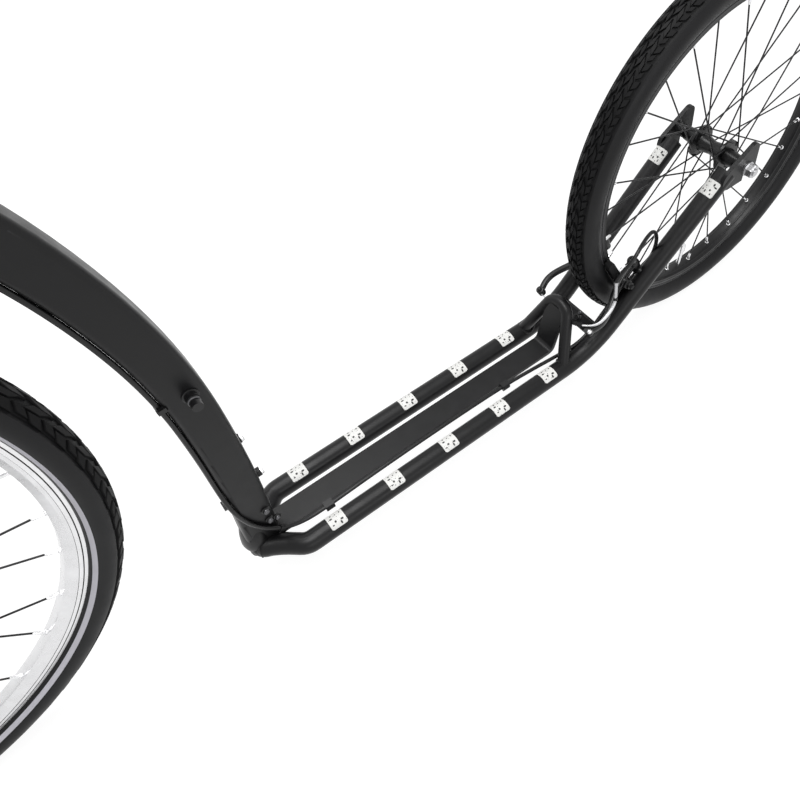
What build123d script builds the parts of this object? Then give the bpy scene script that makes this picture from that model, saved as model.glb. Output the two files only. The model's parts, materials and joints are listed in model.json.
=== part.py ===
from build123d import *
import math
import os

# Footbike: a kick scooter with two in-line wheels, a low footboard of two bent
# tubes and a wide curved down tube. Millimetres. +X forward, +Y left, +Z up.
# The origin is the middle of the footboard, at the top of its side tubes.

os.makedirs("parts", exist_ok=True)

# ---------------------------------------------------------------- driving sizes
DECK_HEIGHT = 78.0            # top of the footboard above the ground
GROUND_Z = -DECK_HEIGHT

REAR_TYRE_R = 246.0
REAR_TYRE_W = 42.0
REAR_BEAD_R = 203.0           # bead seat of a 20 inch rim
REAR_AXLE_X = -473.0
REAR_SPOKES = 28
REAR_VALVE_ANGLE = -83.6      # degrees above +X, between two spokes

FRONT_TYRE_R = 350.0
FRONT_TYRE_W = 44.0
FRONT_BEAD_R = 311.0          # bead seat of a 28 inch rim
FRONT_AXLE_X = 650.0
FRONT_SPOKES = 32
FRONT_VALVE_ANGLE = 84.4
TREAD_THICKNESS = 6.0

SIDE_TUBE_R = 12.7
SIDE_TUBE_Y = 41.5            # centre of each footboard tube
STAY_Y = 44.0                 # centre of each stay at its end
STAY_FOOT_X = -232.0          # where the footboard and stay lines meet
STAY_SLOPE = 40.2             # degrees
STAY_END_GAP = 26.0           # each stay ends this far ahead of the rear axle
ELBOW_X = 196.8               # front elbow of the side tubes
ELBOW_BEND = 20.0
STAY_BEND = 130.0
NOSE_X = 244.2                # where the side tubes' lines meet, inside the down tube
NOSE_TIP_X = 251.5            # the side tubes are cut off here, in line with the foot

DOWN_TUBE_DEPTH = 38.0        # front to back
DOWN_TUBE_WIDTH = 28.0        # side to side
DOWN_TUBE_CORNER = 6.5
DOWN_TUBE_FOOT = (233.9, -2 * SIDE_TUBE_R)   # X and Z of the centre line's low end
FOOT_PLUG = 9.0               # height of the rounded plug in the foot of the down tube
DOWN_TUBE_LEAN = 7.5          # degrees back from the vertical at its foot
DOWN_TUBE_ARCS = ((1934.0, 7.5), (652.0, 18.05), (489.0, 39.2))   # radius and turn of each

HEAD_ANGLE = 71.0             # degrees from the ground
FORK_OFFSET = 45.0
AXLE_TO_CROWN = 395.0
HEAD_TUBE_LENGTH = 160.0
HEAD_TUBE_R = 22.0
HEAD_BORE_R = 17.2
STEERER_R = 14.3
LOWER_STACK = 11.0            # height of the lower headset cup
UPPER_STACK = 12.0
SPACER_STACK = 30.0
STEM_HEIGHT = 42.0

BAR_HALF_WIDTH = 15.5         # flat centre bar of the footboard
BAR_THICKNESS = 5.0
BAR_TOP_Z = -2.0
BAR_BEND_X = -191.0
BAR_STEP = (209.5, 1.0)       # the bar's top is stepped down ahead of this X, for the weld
ARCH_R = 7.7
ARCH_FOOT = (-187.2, 41.0)    # X and Y of each foot of the arch
ARCH_CROWN = (-216.9, 58.3)   # X and Z of its top run
ARCH_CORNER_Y = 13.4
ARCH_BEND = 18.5
BRIDGE_RUN = 19.3             # place of the brake bridge along the stays
BRIDGE_WIDTH = 20.0
BRIDGE_HOLE_R = 3.2
BOSS_Z = (99.0, 163.0)        # the two bottle bosses
BOSS_FACE_X = 197.5
BOSS_BORE_R = 2.5

HUB_GAP = 100.0               # between the plates that hold each axle
AXLE_R = 4.9
HUB_BORE_R = 5.4
PLATE_THICKNESS = 5.5
RIM_HALF_WIDTH = 12.0
REAR_RIM_DEPTH = 8.0          # inside of the rim below its bead seat
FRONT_RIM_DEPTH = 12.0
VALVE_R = 3.0
PAD_GAP = 2.0                 # between each brake pad and the rim
SPOKE_R = 1.0
SPOKE_CROSS = 68.0            # degrees each spoke leans round its flange
CABLE_R = 2.5
NOODLE_R = 2.6

HANDLEBAR_R = 11.1
CLAMP_R = 15.9                # thick middle of the handlebar
CLAMP_HALF = 40.0
HANDLEBAR_HALF = 300.0
HANDLEBAR_RISE = 50.0
GRIP_LENGTH = 125.0
GRIP_R = 16.0

TUBE_Z = -SIDE_TUBE_R
REAR_AXLE = Vector(REAR_AXLE_X, 0, GROUND_Z + REAR_TYRE_R)
FRONT_AXLE = Vector(FRONT_AXLE_X, 0, GROUND_Z + FRONT_TYRE_R)

# steering axis: unit vector up along it, and unit vector forward and square to it
STEER_UP = Vector(-math.cos(math.radians(HEAD_ANGLE)), 0, math.sin(math.radians(HEAD_ANGLE)))
STEER_FWD = Vector(math.sin(math.radians(HEAD_ANGLE)), 0, math.cos(math.radians(HEAD_ANGLE)))
CROWN_SEAT = (FRONT_AXLE - STEER_FWD * FORK_OFFSET
              + STEER_UP * math.sqrt(AXLE_TO_CROWN ** 2 - FORK_OFFSET ** 2))
HEAD_BASE = CROWN_SEAT + STEER_UP * LOWER_STACK
HEAD_TOP = HEAD_BASE + STEER_UP * HEAD_TUBE_LENGTH
STEM_BASE = HEAD_TOP + STEER_UP * (UPPER_STACK + SPACER_STACK)
STEER_PLANE = Plane(origin=CROWN_SEAT, x_dir=STEER_FWD, z_dir=STEER_UP)
LEFT = Vector(0, 1, 0)


# ---------------------------------------------------------------- small helpers
def save(name, solids):
    """Write one node: one solid, or a group of like solids."""
    items = solids if isinstance(solids, (list, tuple)) else [solids]
    shape = items[0] if len(items) == 1 else Compound(children=list(items))
    export_step(shape, f"parts/{name}.step")


def tube_along(points, radius, bends):
    """Round bar along straight runs joined by tangent arcs."""
    path = FilletPolyline(*points, radius=bends) if len(points) > 2 else Line(*points)
    start = Plane(origin=path @ 0, z_dir=path % 0)
    return sweep(start * Circle(radius), path=path)


def rod(start, end, radius, end_radius=None):
    """Straight round bar, or a cone frustum when end_radius is given."""
    run = Vector(*end) - Vector(*start)
    at = Plane(origin=Vector(*start), z_dir=run.normalized())
    low = (Align.CENTER, Align.CENTER, Align.MIN)
    if end_radius is None:
        return at * Cylinder(radius, run.length, align=low)
    return at * Cone(radius, end_radius, run.length, align=low)


def mirrored(solid):
    """The same piece on the other side of the footbike."""
    return mirror(solid, about=Plane.XZ)


def plate_xz(outline, y_low, y_high):
    """Flat plate square to Y from a closed face drawn in X and Z."""
    return extrude(Plane.XZ.offset(-y_low) * outline, amount=-(y_high - y_low))


def wheel_ring(face, axle):
    """Turn a face drawn as (radius, y) about the wheel's axle."""
    return Pos(*axle) * revolve(face, axis=Axis.Y)


def polar(centre, radius, degrees):
    """Point in the X-Z plane at an angle above +X."""
    angle = math.radians(degrees)
    return Vector(centre.X + radius * math.cos(angle), centre.Y, centre.Z + radius * math.sin(angle))


# ---------------------------------------------------------------- frame
def down_tube_path():
    """Centre line of the down tube: three tangent arcs in the X-Z plane."""
    lean = math.radians(DOWN_TUBE_LEAN)
    heading = (-math.sin(lean), math.cos(lean))
    at = DOWN_TUBE_FOOT
    arcs = []
    for radius, turn in DOWN_TUBE_ARCS:
        arc = JernArc(start=at, tangent=heading, radius=radius, arc_size=-turn)
        arcs.append(arc)
        at = (arc @ 1).X, (arc @ 1).Y
        heading = (arc % 1).X, (arc % 1).Y
    return Plane.XZ * Wire(arcs)


def down_tube():
    """Down tube with its open foot and the two threaded holes in its rear face."""
    path = down_tube_path()
    section = RectangleRounded(DOWN_TUBE_DEPTH, DOWN_TUBE_WIDTH, DOWN_TUBE_CORNER)
    start = Plane(origin=path @ 0, x_dir=(1, 0, 0), z_dir=path % 0)
    body = sweep(start * section, path=path)
    head = rod(HEAD_BASE - STEER_UP * 30, HEAD_TOP + STEER_UP * 30, HEAD_TUBE_R)
    cut_z = DOWN_TUBE_FOOT[1] + FOOT_PLUG
    below = Pos(DOWN_TUBE_FOOT[0], 0, cut_z - 20) * Box(80, 60, 40)
    body -= head + below
    for z in BOSS_Z:
        body -= rod((BOSS_FACE_X, 0, z), (BOSS_FACE_X + 14, 0, z), BOSS_BORE_R)
    return body


def head_tube():
    shell = rod(HEAD_BASE, HEAD_TOP, HEAD_TUBE_R)
    bore = rod(HEAD_BASE - STEER_UP, HEAD_TOP + STEER_UP, HEAD_BORE_R)
    for at in (HEAD_BASE, HEAD_TOP - STEER_UP * 12):
        shell += rod(at, at + STEER_UP * 12, HEAD_TUBE_R + 1.6)
    return shell - bore


def stay_point(run, y=STAY_Y):
    """Point on a stay's centre line, run millimetres back along X."""
    return Vector(STAY_FOOT_X - run, y, TUBE_Z + run * math.tan(math.radians(STAY_SLOPE)))


def side_tube():
    """Left footboard tube, from the nose under the down tube to the rear wheel."""
    end = stay_point(STAY_FOOT_X - REAR_AXLE_X - STAY_END_GAP)
    points = [(NOSE_X, 0, TUBE_Z), (ELBOW_X, SIDE_TUBE_Y, TUBE_Z),
              (STAY_FOOT_X, SIDE_TUBE_Y, TUBE_Z), (end.X, end.Y, end.Z)]
    return tube_along(points, SIDE_TUBE_R, [ELBOW_BEND, STAY_BEND])


def foot_shoe():
    """Rounded plug that closes the foot of the down tube, flush with its faces."""
    outline = RectangleRounded(DOWN_TUBE_DEPTH, DOWN_TUBE_WIDTH, DOWN_TUBE_CORNER)
    lean = math.radians(DOWN_TUBE_LEAN)
    middle_x = DOWN_TUBE_FOOT[0] - FOOT_PLUG * math.tan(lean)
    plug = Pos(middle_x, 0, DOWN_TUBE_FOOT[1]) * extrude(outline, FOOT_PLUG)
    return fillet(plug.edges().group_by(Axis.Z)[0], 6.0)


def centre_bar():
    """Flat bar down the middle of the footboard, bent up to the arch at the rear."""
    half = BAR_THICKNESS / 2
    line = FilletPolyline((218, BAR_TOP_Z - half), (BAR_BEND_X, BAR_TOP_Z - half),
                          (BAR_BEND_X - 20, 56), radius=9)
    strip = plate_xz(trace(line, BAR_THICKNESS), -BAR_HALF_WIDTH, BAR_HALF_WIDTH)
    step_x, step_depth = BAR_STEP
    step = Box(30, 4 * BAR_HALF_WIDTH, 10, align=(Align.MIN, Align.CENTER, Align.MIN))
    return strip - Pos(step_x, 0, BAR_TOP_Z - step_depth) * step


def arch():
    """Small arch that stands on both side tubes behind the footboard."""
    foot_z = TUBE_Z + 6
    points = [(ARCH_FOOT[0], ARCH_FOOT[1], foot_z), (ARCH_CROWN[0], ARCH_CORNER_Y, ARCH_CROWN[1]),
              (ARCH_CROWN[0], -ARCH_CORNER_Y, ARCH_CROWN[1]), (ARCH_FOOT[0], -ARCH_FOOT[1], foot_z)]
    return tube_along(points, ARCH_R, [ARCH_BEND, ARCH_BEND])


def bridge_plane():
    """Middle of the brake bridge, with Z square to the stays and X along them."""
    slope = math.radians(STAY_SLOPE)
    centre = stay_point(BRIDGE_RUN)
    return Plane(origin=(centre.X, 0, centre.Z), x_dir=(-math.cos(slope), 0, math.sin(slope)),
                 z_dir=(math.sin(slope), 0, math.cos(slope)))


def brake_bridge():
    """Flat plate between the stays, just ahead of the rear tyre, with one bolt hole."""
    at = bridge_plane()
    plate = at * fillet(Box(BRIDGE_WIDTH, 2 * STAY_Y, 7).edges().filter_by(Axis.Y), 2.5)
    return plate - at * Cylinder(BRIDGE_HOLE_R, 20)


def axle_slot(axle, depth):
    """Open slot that lets an axle into its plate from below."""
    width = 2 * (AXLE_R + 0.1)
    return Pos(axle.X, axle.Z) * (Circle(width / 2) + Pos(0, -depth / 2) * Rectangle(width, depth))


def dropout():
    """Left rear plate: holds the axle below the end of the stay."""
    y_in = HUB_GAP / 2
    boss = Pos(REAR_AXLE.X, REAR_AXLE.Z) * Circle(16)
    upper = stay_point(STAY_FOOT_X - REAR_AXLE_X - 30)
    lug = Pos(upper.X, upper.Z) * Circle(14)
    rear = Pos(REAR_AXLE.X - 6, REAR_AXLE.Z + 24) * Circle(9)
    outline = make_hull(boss.edges() + lug.edges() + rear.edges())
    return plate_xz(outline - axle_slot(REAR_AXLE, 26), y_in, y_in + PLATE_THICKNESS)


def bottle_bosses():
    """Two threaded bosses on the rear face of the down tube."""
    bosses = []
    for z in BOSS_Z:
        boss = rod((BOSS_FACE_X, 0, z), (BOSS_FACE_X + 10, 0, z), 5.0)
        bosses.append(boss - rod((BOSS_FACE_X - 1, 0, z), (BOSS_FACE_X + 11, 0, z), BOSS_BORE_R))
    return bosses


def side_stud():
    """Barrel stud on the left face of the down tube."""
    y = DOWN_TUBE_WIDTH / 2
    at = Vector(214, y, 264)
    stud = rod(at, at + LEFT * 6, 6.0) + rod(at + LEFT * 6, at + LEFT * 11, 4.2)
    return stud + rod(at + LEFT * 11, at + LEFT * 16, 5.0)


# ---------------------------------------------------------------- wheels
def rim(axle, bead, depth):
    """Rim with brake tracks and a closed box section below its well."""
    half = [(bead + 5.5, RIM_HALF_WIDTH), (bead - 5, RIM_HALF_WIDTH), (bead - depth, 6.5)]
    well = [(bead - 3, 6), (bead, 9.6), (bead + 5.5, 9.6)]
    points = half + [(r, -y) for r, y in reversed(half)]
    points += [(r, -y) for r, y in reversed(well)] + well
    return wheel_ring(make_face(Polyline(*points, close=True)), axle)


def tyre(axle, radius, width, bead):
    """Tyre with a crowned tread and rounded side walls, open towards the rim."""
    shoulder = (radius - 7, width * 0.36)
    widest = (bead + (radius - bead) * 0.52, width / 2)
    neck = (bead + 5.6, 11.2)
    seat = (bead + 5.6, 9.3)
    toe = (bead + 0.1, 9.3)
    inner = (bead + 3.5, 6.5)

    def low(point):
        return point[0], -point[1]

    edges = [ThreePointArc(shoulder, (radius, 0), low(shoulder)),
             ThreePointArc(shoulder, widest, neck), Line(neck, seat), Line(seat, toe), Line(toe, inner),
             ThreePointArc(low(shoulder), low(widest), low(neck)), Line(low(neck), low(seat)),
             Line(low(seat), low(toe)), Line(low(toe), low(inner))]
    root = (bead + 9, 8.4)
    edges += [Line(inner, root), ThreePointArc(root, (radius - TREAD_THICKNESS, 0), low(root)),
              Line(low(inner), low(root))]
    return wheel_ring(make_face(edges), axle)


def valve(axle, bead, depth, degrees):
    """Tyre valve through the rim, with its cap towards the hub."""
    foot = polar(axle, bead - depth - 0.1, degrees)
    neck = polar(axle, bead - depth - 26, degrees)
    tip = polar(axle, bead - depth - 38, degrees)
    return rod(foot, neck, VALVE_R) + rod(neck, tip, VALVE_R + 1)


def hub(axle, flange_r, shell_r, flange_y):
    """Hub shell with two spoke flanges, bored for the axle."""
    end_y = HUB_GAP / 2 - 6.2
    half = [(HUB_BORE_R, end_y), (shell_r - 3, end_y), (shell_r - 1, flange_y + 2),
            (flange_r, flange_y + 1.6), (flange_r, flange_y - 1.6), (shell_r, flange_y - 4),
            (shell_r - 3, 0)]
    points = half + [(r, -y) for r, y in reversed(half[:-1])]
    return wheel_ring(make_face(Polyline(*points, close=True)), axle)


def axle_set(axle):
    """Axle with its locknuts and outer nuts: it stays with the plates that hold it."""
    half_gap = HUB_GAP / 2
    reach = half_gap + PLATE_THICKNESS
    shaft = rod(axle - LEFT * (reach + 13), axle + LEFT * (reach + 13), AXLE_R)
    for side in (1, -1):
        inner = axle + LEFT * side * (half_gap - 5.4)
        shaft += rod(inner, axle + LEFT * side * half_gap, 8.5)
        face = axle + LEFT * side * reach
        shaft += rod(face, face + LEFT * side * 2, 9.5)
        nut = extrude(RegularPolygon(8.7, 6), 9)
        shaft += Plane(origin=face + LEFT * side * 2, z_dir=LEFT * side) * nut
    return shaft


def spokes(axle, count, flange_r, flange_y, rim_r, hub_solid, rim_solid):
    """Crossed spokes, from alternate faces of each flange to the rim."""
    wires = []
    for index in range(count):
        side = 1 if index % 2 else -1
        outer = (index // 2) % 2 == 1
        angle = 360 * index / count
        foot = polar(axle, flange_r - 2.5, angle + (SPOKE_CROSS if outer else -SPOKE_CROSS))
        foot.Y = side * (flange_y + (3.4 if outer else -2.55))
        head = polar(axle, rim_r, angle)
        head.Y = side * 1.2
        wires.append(rod(foot, head, SPOKE_R) - hub_solid - rim_solid)
    return wires


# ---------------------------------------------------------------- steering
CROWN_DROP = 34.0
LEG_TOP_Y = 45.0
LEG_END = 20.0                # distance of each leg's end from the axle


def leg_line():
    """Centre line of the left fork leg, top and end."""
    top = CROWN_SEAT - STEER_UP * (CROWN_DROP - 12) + LEFT * LEG_TOP_Y
    axle_side = FRONT_AXLE + LEFT * (HUB_GAP / 2 + PLATE_THICKNESS / 2)
    end = axle_side + (top - axle_side).normalized() * LEG_END
    return top, end


def fork():
    """Steerer, crown and two tapered legs with their axle plates."""
    steerer = rod(CROWN_SEAT - STEER_UP * 5, STEM_BASE + STEER_UP * STEM_HEIGHT, STEERER_R)
    race = rod(CROWN_SEAT - STEER_UP * 3, CROWN_SEAT, 21.0)
    block = Box(38, 2 * LEG_TOP_Y + 20, CROWN_DROP - 6, align=(Align.CENTER, Align.CENTER, Align.MAX))
    block = fillet(block.edges(), 9.0)
    body = steerer + race + STEER_PLANE * (Pos(0, 0, -2) * block)
    top, end = leg_line()
    for side in (1, -1):
        start = Vector(top.X, top.Y * side, top.Z)
        stop = Vector(end.X, end.Y * side, end.Z)
        body += rod(start, stop, 15.0, 9.0)
        plate = fork_end(start)
        body += plate if side > 0 else mirrored(plate)
    return body


def fork_end(leg_top):
    """Plate at the foot of a fork leg with the slot for the axle."""
    y_in = HUB_GAP / 2
    boss = Pos(FRONT_AXLE.X, FRONT_AXLE.Z) * Circle(14)
    run = Vector(leg_top.X - FRONT_AXLE.X, 0, leg_top.Z - FRONT_AXLE.Z).normalized()
    tail = Pos(FRONT_AXLE.X + run.X * 42, FRONT_AXLE.Z + run.Z * 42) * Circle(7)
    outline = make_hull(boss.edges() + tail.edges())
    return plate_xz(outline - axle_slot(FRONT_AXLE, 24), y_in, y_in + PLATE_THICKNESS)


def headset():
    """Lower cup, upper cup and spacers."""
    bore = STEERER_R + 0.05
    lower = rod(CROWN_SEAT + STEER_UP * 0.4, HEAD_BASE, 22.4) - rod(CROWN_SEAT, HEAD_BASE, bore + 0.6)
    upper = rod(HEAD_TOP, HEAD_TOP + STEER_UP * (UPPER_STACK - 0.4), 22.4, 19.0)
    return [lower, upper - rod(HEAD_TOP, STEM_BASE, bore + 0.6)]


def spacers():
    start = HEAD_TOP + STEER_UP * UPPER_STACK
    return rod(start, STEM_BASE, 17.5) - rod(start - STEER_UP, STEM_BASE + STEER_UP, STEERER_R)


BAR_CENTRE = STEM_BASE + STEER_UP * (STEM_HEIGHT / 2 + 22) + STEER_FWD * 80


def stem():
    """Clamp on the steerer, forward arm and handlebar clamp."""
    clamp = rod(STEM_BASE, STEM_BASE + STEER_UP * STEM_HEIGHT, 19.0)
    arm_start = STEM_BASE + STEER_UP * STEM_HEIGHT / 2
    arm = rod(arm_start, BAR_CENTRE, 16.0, 14.5)
    jaw = rod(BAR_CENTRE - LEFT * 22, BAR_CENTRE + LEFT * 22, 21.0)
    cap = rod(STEM_BASE + STEER_UP * STEM_HEIGHT, STEM_BASE + STEER_UP * (STEM_HEIGHT + 3), 17.0)
    body = clamp + arm + jaw + cap
    body -= rod(BAR_CENTRE - LEFT * 30, BAR_CENTRE + LEFT * 30, CLAMP_R)
    return body - rod(STEM_BASE - STEER_UP, STEM_BASE + STEER_UP * STEM_HEIGHT, STEERER_R)


def handlebar_points():
    """Left half of the handlebar's centre line: clamp, rise, hand straight."""
    up = Vector(-0.10, 0, 1)
    c = BAR_CENTRE
    return [c, c + LEFT * 72, c + LEFT * 130 + up * HANDLEBAR_RISE,
            c + LEFT * HANDLEBAR_HALF + up * HANDLEBAR_RISE + Vector(-24, 0, 2)]


def handlebar():
    left = handlebar_points()
    points = [(p.X, -p.Y, p.Z) for p in reversed(left[1:])] + [(p.X, p.Y, p.Z) for p in left[1:]]
    tube = tube_along(points, HANDLEBAR_R, [40.0] * 4)
    thick = rod(BAR_CENTRE - LEFT * CLAMP_HALF, BAR_CENTRE + LEFT * CLAMP_HALF, CLAMP_R)
    for side in (1, -1):
        edge = BAR_CENTRE + LEFT * side * CLAMP_HALF
        thick += rod(edge, edge + LEFT * side * 12, CLAMP_R, HANDLEBAR_R + 0.5)
    return tube + thick


def hand_line():
    """Start and end of the left hand straight, as points."""
    points = handlebar_points()
    return points[2], points[3]


def grip():
    start, end = hand_line()
    along = (end - start).normalized()
    tail = end - along * GRIP_LENGTH
    body = rod(tail, end + along * 3, GRIP_R) + rod(tail, tail + along * 4, GRIP_R + 3)
    return body - rod(tail - along, end, HANDLEBAR_R)


def lever_frame():
    """Middle of the left lever's clamp, the way along the bar and the way to the blade."""
    start, end = hand_line()
    along = (end - start).normalized()
    reach = (STEER_FWD - STEER_UP * 0.45).normalized()
    return end - along * (GRIP_LENGTH + 22), along, reach


def brake_lever():
    """Left lever: bar clamp, pivot body and curved two-finger blade."""
    start, end = hand_line()
    at, along, reach = lever_frame()
    pivot = at + reach * 34 + along * 4
    clamp = rod(at - along * 7, at + along * 7, HANDLEBAR_R + 4.5)
    body = clamp + rod(at + reach * 8, pivot, 8.0, 7.0)
    across = LEFT.cross(reach).normalized()
    body += rod(pivot - across * 9, pivot + across * 9, 7.5)
    body += rod(pivot, pivot - along * 20, 4.5)
    blade_points = [pivot, pivot + along * 30 + reach * 22, pivot + along * 76 + reach * 19,
                    pivot + along * 108 + reach * 26]
    blade = tube_along([(p.X, p.Y, p.Z) for p in blade_points], 5.0, [24.0, 60.0])
    return body + blade - rod(start, end, HANDLEBAR_R)


# ---------------------------------------------------------------- rim brakes
REAR_BRAKE_ANGLE = -27.9      # from the rear axle, degrees above +X
BOSS_DROP = 25.0              # boss centre below the bead seat
ARM_Y = 38.0                  # arm centre at its boss
ARM_LENGTH = 104.0            # from boss to cable bolt
ARM_THICK = 7.0
ARM_WIDE = 9.0
ARM_BOW = 17.5                # how far the arm bows out over the tyre


def front_brake_angle():
    """The front arms stand along a wheel radius just ahead of the fork legs."""
    top, end = leg_line()
    leg = math.degrees(math.atan2(top.Z - FRONT_AXLE.Z, top.X - FRONT_AXLE.X))
    return leg - math.degrees(math.asin(27 / (FRONT_BEAD_R - BOSS_DROP)))


def brake_plane(axle, angle, facing):
    """X out along the wheel radius, Y to the left, Z (or its reverse) round the wheel."""
    around = polar(Vector(0, 0, 0), 1, angle + 90)
    return Plane(origin=axle, x_dir=polar(Vector(0, 0, 0), 1, angle), z_dir=around), around * facing


def brake_arm(axle, bead, angle, facing, reach):
    """Left arm of a linear-pull brake: bowed outwards over the tyre, on its boss.

    facing is 1 or -1, the side of the arm where its bolts show; reach is how far the
    boss stands out behind the arm to the tube that holds it."""
    at, front = brake_plane(axle, angle, facing)
    root = bead - BOSS_DROP
    line = FilletPolyline((root, ARM_Y), (root + 37, ARM_Y + 1), (root + 84, ARM_Y + ARM_BOW),
                          (root + ARM_LENGTH, ARM_Y + 8), radius=[30.0, 22.0])
    bow = extrude(trace(line, ARM_THICK), ARM_WIDE / 2, both=True)
    block = Pos(root + 17, ARM_Y - 4.5) * fillet(Box(43, 16, 10).edges().filter_by(Axis.Z), 4.0)
    body = at * (fillet(bow.edges().filter_by(Axis.Z), 1.5) + block)
    foot = polar(axle, root, angle) + LEFT * ARM_Y
    body += rod(foot - front * reach, foot + front * 9, 8.5)
    tip = polar(axle, root + ARM_LENGTH - 1, angle) + LEFT * (ARM_Y + 8.5)
    return body + rod(tip - front * 5, tip + front * 6.5, 5.6)


def brake_pad(axle, bead, angle):
    """Left pad with its post to the arm."""
    at = polar(axle, bead, angle)
    around = polar(Vector(0, 0, 0), 1, angle + 90)
    face = RIM_HALF_WIDTH + PAD_GAP
    block = fillet(Box(62, 10, 9).edges().filter_by(Axis.Z), 3.0)
    pad = Plane(origin=at + LEFT * (face + 4.5), x_dir=around, z_dir=LEFT) * block
    return pad + rod(at + LEFT * (face + 8), at + LEFT * (ARM_Y + 12), 3.0)


# ---------------------------------------------------------------- brake cable
def cord(name, points, radius):
    """Cable tube: straight runs joined by arcs as large as the runs allow."""
    spots = [Vector(*p) for p in points]
    runs = [(b - a).length for a, b in zip(spots, spots[1:])]
    radii = []
    for i in range(1, len(spots) - 1):
        turn = (spots[i] - spots[i - 1]).get_angle(spots[i + 1] - spots[i])
        short = min(runs[i - 1], runs[i])
        radii.append(0.45 * short / math.tan(math.radians(turn / 2)))
    path = FilletPolyline(*spots, radius=radii)
    tube = sweep(Plane(origin=path @ 0, z_dir=path % 0) * Circle(radius), path=path)
    section = math.pi * radius ** 2 * path.length
    print(f"{name}: length {path.length:.0f} mm, least radius {min(radii):.1f} mm,"
          f" volume / section x length {tube.volume / section:.4f}")
    return tube


def steer_point(forward, up, left):
    """Point given from the crown seat, along and across the steering axis."""
    return CROWN_SEAT + STEER_FWD * forward + STEER_UP * up + LEFT * left


def on_down_tube(run, out, left):
    """Point beside the down tube: run along its centre line, out from it to the front."""
    path = down_tube_path()
    at = path.position_at(run, position_mode=PositionMode.LENGTH)
    way = path.tangent_at(run, position_mode=PositionMode.LENGTH)
    return at + Vector(way.Z, 0, -way.X) * out + LEFT * left


def beside_stay(run, up, left):
    """Point inside the left stay, up square to its centre line."""
    slope = math.radians(STAY_SLOPE)
    at = stay_point(run)
    return Vector(at.X + up * math.sin(slope), left, at.Z + up * math.cos(slope))


UNDER_TUBE_RUNS = (694, 640, 580, 520, 460, 400, 340, 280, 222, 180, 148)
CABLE_END = (-269.3, 45.9, 97.4)       # where the cable enters the noodle


def frame_cable_points():
    """Rear brake cable from beside the head tube to the rear brake."""
    under = DOWN_TUBE_DEPTH / 2 + CABLE_R + 0.1
    points = [steer_point(0, 110, 36), steer_point(0, 84, 36), steer_point(-7, 57, 31.5),
              steer_point(-21, 38, 23), on_down_tube(734, under + 1.2, 14.2)]
    points += [on_down_tube(run, under, 9) for run in UNDER_TUBE_RUNS]
    points += [(241.9, 15.0, 95), (239.4, 17.1, 70), (233.4, 17.2, 45), (222.5, 17.5, 23),
               (206.0, 18.6, 4.5), (183, 21.2, -1.6), (154, 21.0, -2.5), (104, 19.4, -2.7),
               (54, 18.6, -2.8), (4, 18.3, -2.8), (-50, 18.5, -2.8), (-107, 19.6, -2.8),
               (-150, 22.6, -3.0), (-188, 26.2, -3.6), (-218, 27.6, 0.2)]
    points += [beside_stay(17, 9, 27.2), beside_stay(46, 7, 27.6), beside_stay(76, 5, 27.3),
               beside_stay(99, 2.5, 26.4), (-338.2, 27.0, 82.8), (-343.2, 28.4, 95.2),
               (-343.4, 30.6, 108.6), (-338.0, 33.4, 120.9), (-328.4, 36.4, 130.2),
               (-315.9, 39.4, 135.0), (-302.5, 42.2, 135.2), (-289.9, 44.4, 130.4),
               (-279.6, 45.7, 121.8), (-272.5, 46.1, 110.4)]
    points += [CABLE_END]
    return [tuple(p) for p in points]


def loop_cable_points():
    """Rear brake cable from the left lever down to the side of the head tube."""
    at, along, reach = lever_frame()
    start = at + reach * 34 - along * 16.8
    points = [start, start - along * 30 + reach * 4, steer_point(124, 272, 84),
              steer_point(112, 246, 60), steer_point(80, 229, 49), steer_point(46, 221, 43),
              steer_point(17, 203, 38.5), steer_point(4, 172, 36.8), steer_point(0, 140, 36),
              steer_point(0, 110, 36)]
    return [tuple(p) for p in points]


def noodle_points():
    """Bent metal pipe that leads the cable over the left brake arm."""
    last, end = (Vector(*p) for p in frame_cable_points()[-2:])
    bend = [(-265.2, 46.4, 78.2), (-261.2, 49.2, 68.6), (-254.0, 52.4, 61.8), (-244.5, 53.8, 56.0),
            (-235.0, 52.4, 51.0), (-227.6, 47.8, 47.6), (-222.2, 40.5, 45.2)]
    return [CABLE_END, tuple(end + (end - last) * 0.7)] + bend


def cable_clips():
    """Open bands that hold the cable: two on the down tube, two on the centre bar."""
    clips = []
    under = DOWN_TUBE_DEPTH / 2
    for run in (290, 118):
        at = on_down_tube(run, under + 1.5, 9.4)
        way = down_tube_path().tangent_at(run, position_mode=PositionMode.LENGTH)
        clips.append(Plane(origin=at, x_dir=LEFT, z_dir=way) * Box(9.5, 8.0, 5))
    for x, y_out in ((154, 24.6), (-107, 23.4)):
        middle_y = (BAR_HALF_WIDTH + y_out) / 2
        clips.append(Pos(x, middle_y, BAR_TOP_Z - 1.2) * Box(11, y_out - BAR_HALF_WIDTH, 8.4))
    return clips


# ---------------------------------------------------------------- write the nodes
down_tube_solid = down_tube()
shoe = foot_shoe()
arch_solid = arch()
plate = dropout()
half_space = Pos(0, 500, 0) * Box(3000, 1000, 2000)
nose_cut = Plane(origin=(NOSE_TIP_X, 0, TUBE_Z), z_dir=(0.9, 0.436, 0))
nose_cut = nose_cut * Box(200, 200, 60, align=(Align.CENTER, Align.CENTER, Align.MIN))
left_tube = (side_tube() & half_space) - nose_cut - down_tube_solid - shoe - plate
left_tube = left_tube.solids().sort_by(SortBy.VOLUME)[-1]
right_tube = mirrored(left_tube)
arch_solid -= left_tube + right_tube

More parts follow.
